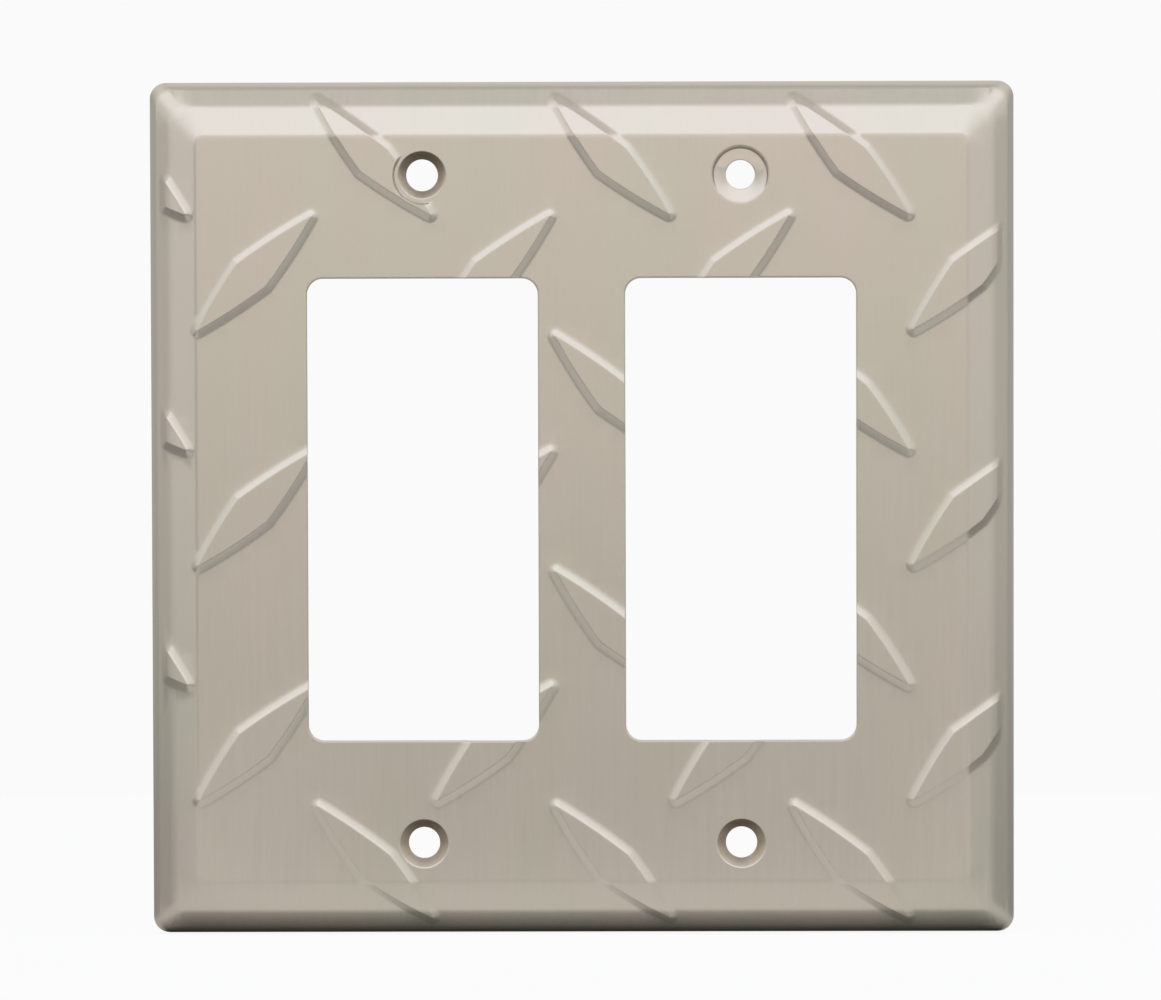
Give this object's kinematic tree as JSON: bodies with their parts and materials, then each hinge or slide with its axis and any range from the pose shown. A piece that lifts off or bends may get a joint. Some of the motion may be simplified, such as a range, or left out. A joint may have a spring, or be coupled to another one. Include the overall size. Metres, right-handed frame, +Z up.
{
  "type": "two-gang outlet cover plate",
  "caption": "Pressed satin steel wall plate with a bevelled rim, raised diagonal tread lugs, rectangular device windows and screw holes.",
  "frame": {"origin": "middle of the plate on the wall plane, which the rim's edge lies on", "axes": "+Z up the wall, +X to the right as seen from the room, the front faces -Y and +Y goes into the wall"},
  "size_m": [0.1254, 0.0066, 0.1238],
  "materials": {
    "satin_steel": "satin nickel, brushed upright"
  },
  "bodies": {
    "root": {"cover_plate": "satin_steel"}
  },
  "joints": []
}
